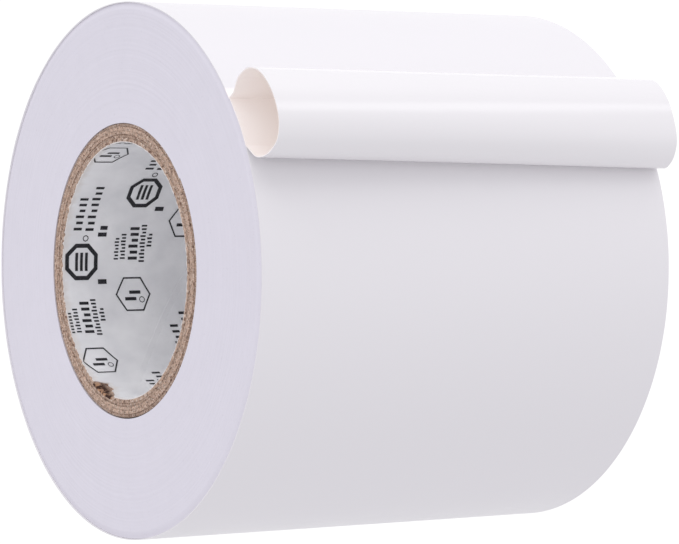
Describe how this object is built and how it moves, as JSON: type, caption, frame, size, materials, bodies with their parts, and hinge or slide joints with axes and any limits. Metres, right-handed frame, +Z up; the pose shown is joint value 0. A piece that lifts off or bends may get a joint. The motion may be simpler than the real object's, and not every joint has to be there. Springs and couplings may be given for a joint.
{
  "type": "electrical tape roll",
  "caption": "Wide roll of white vinyl electrical tape on a printed, spiral-wound paperboard core, its free end rolled back on itself in a loop.",
  "frame": {"origin": "the middle of the roll, on its axis", "axes": "+X along the roll's axis, from the face with the torn liner to the other; +Z up; the free end's loop is on the -Y side"},
  "size_m": [0.0762, 0.0906, 0.0849],
  "materials": {
    "tape_film": "calendered white vinyl film, satin",
    "tape_adhesive": "thin clear-white pressure-sensitive adhesive coat, glossy",
    "kraft_board": "brown recycled kraft board, cut edges fibrous",
    "liner_paper": null
  },
  "bodies": {
    "roll": {"core_liner": "liner_paper", "core_ply_1": "kraft_board", "core_ply_2": "kraft_board", "core_ply_3": "kraft_board", "core_ply_4": "kraft_board", "core_ply_5": "kraft_board", "wound_tape": "tape_film", "outer_turn_film": "tape_film", "outer_turn_adhesive": "tape_adhesive"},
    "free_end": {"loop_film": "tape_film", "loop_adhesive": "tape_adhesive"},
    "tail": {"tail_film": "tape_film", "tail_adhesive": "tape_adhesive"}
  },
  "joints": [
    {"name": "free_end_lift", "type": "hinge", "parent": "roll", "child": "free_end", "pos_m": [0, -0.03333, 0.02651], "axis": [-0.9997, -0.0146, -0.0183], "range_deg": [0, 70]},
    {"name": "tail_lift", "type": "hinge", "parent": "free_end", "child": "tail", "pos_m": [0, -0.03898, 0.01752], "axis": [0.9996, -0.0112, -0.025], "range_deg": [0, 40]}
  ]
}
